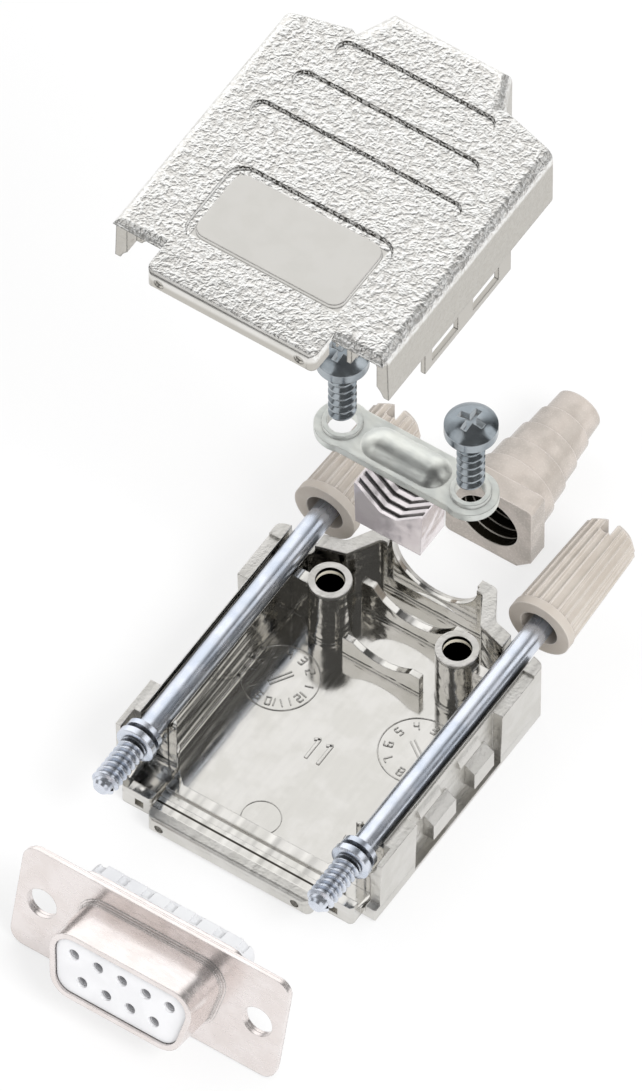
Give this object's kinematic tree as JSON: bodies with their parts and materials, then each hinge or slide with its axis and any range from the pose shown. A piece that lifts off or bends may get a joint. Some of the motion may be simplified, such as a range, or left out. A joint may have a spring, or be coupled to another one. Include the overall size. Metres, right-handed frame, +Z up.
{
  "type": "d-sub connector",
  "caption": "Socket d-sub connector with a two-piece die-cast cable hood, fluted jackscrews, cable clamp and cable boot, laid out in the order it goes together.",
  "frame": {"origin": "middle of the flat base of the lower shell", "axes": "+X across the hood, +Y from the mating face to the cable end, +Z up from the base"},
  "size_m": [0.0334, 0.085, 0.093],
  "materials": {
    "cast_nickel": "bright nickel plate on die casting",
    "cast_nickel_grained": "satin nickel plate over a grained casting",
    "strap_steel": "plated pressed steel",
    "screw_zinc": "zinc plate",
    "jack_zinc": "bright zinc plate",
    "insert_cast": "satin plated casting",
    "boot_plastic": "moulded",
    "knob_plastic": "moulded",
    "shell_tin": "bright tin plate",
    "insulator_white": "moulded",
    "contact_gold": "plated"
  },
  "bodies": {
    "base": {"lower_shell": "cast_nickel", "ferrule": "boot_plastic", "front_shell": "shell_tin", "rear_shell": "shell_tin", "front_insulator": "insulator_white", "rear_insulator": "insulator_white", "contact_1": "contact_gold", "contact_2": "contact_gold", "contact_3": "contact_gold", "contact_4": "contact_gold", "contact_5": "contact_gold", "contact_6": "contact_gold", "contact_7": "contact_gold", "contact_8": "contact_gold", "contact_9": "contact_gold"},
    "cover": {"cover": "cast_nickel_grained"},
    "clamp_strap": {"clamp_strap": "strap_steel"},
    "clamp_screw_left": {"clamp_screw_left": "screw_zinc"},
    "clamp_screw_right": {"clamp_screw_right": "screw_zinc"},
    "clamp_insert": {"clamp_insert": "insert_cast"},
    "retainer_left": {"retainer_left": "jack_zinc"},
    "retainer_right": {"retainer_right": "jack_zinc"},
    "jackscrew_left": {"jackscrew_left": "jack_zinc", "knob_left": "knob_plastic"},
    "jackscrew_right": {"jackscrew_right": "jack_zinc", "knob_right": "knob_plastic"}
  },
  "joints": [
    {"name": "cover_close", "type": "slide", "parent": "base", "child": "cover", "axis": [-0.0078, 0, -1], "range_m": [0, 0.0774]},
    {"name": "strap_seat", "type": "slide", "parent": "base", "child": "clamp_strap", "axis": [-0.0546, 0, -0.9985], "range_m": [0, 0.02564]},
    {"name": "screw_left_seat", "type": "slide", "parent": "base", "child": "clamp_screw_left", "axis": [-0.0397, 0, -0.9992], "range_m": [0, 0.03523]},
    {"name": "screw_right_seat", "type": "slide", "parent": "base", "child": "clamp_screw_right", "axis": [-0.0397, 0, -0.9992], "range_m": [0, 0.03523]},
    {"name": "insert_seat", "type": "slide", "parent": "base", "child": "clamp_insert", "axis": [0, 0, -1], "range_m": [0, 0.0198]},
    {"name": "jackscrew_left_play", "type": "slide", "parent": "base", "child": "retainer_left", "axis": [0, -1, 0], "range_m": [-0.0015, 0.0015]},
    {"name": "jackscrew_right_play", "type": "slide", "parent": "base", "child": "retainer_right", "axis": [0, -1, 0], "range_m": [-0.0015, 0.0015]},
    {"name": "jackscrew_left_spin", "type": "hinge", "parent": "retainer_left", "child": "jackscrew_left", "pos_m": [-0.01249, -0.015, 0.0085], "axis": [0, -1, 0], "continuous": true},
    {"name": "jackscrew_right_spin", "type": "hinge", "parent": "retainer_right", "child": "jackscrew_right", "pos_m": [0.01249, -0.015, 0.0085], "axis": [0, -1, 0], "continuous": true}
  ],
  "couplings": [
    {"joint": "strap_seat", "follows": "cover_close", "ratio": 0.33123},
    {"joint": "screw_left_seat", "follows": "cover_close", "ratio": 0.45513},
    {"joint": "screw_right_seat", "follows": "cover_close", "ratio": 0.45513},
    {"joint": "insert_seat", "follows": "cover_close", "ratio": 0.25581}
  ]
}
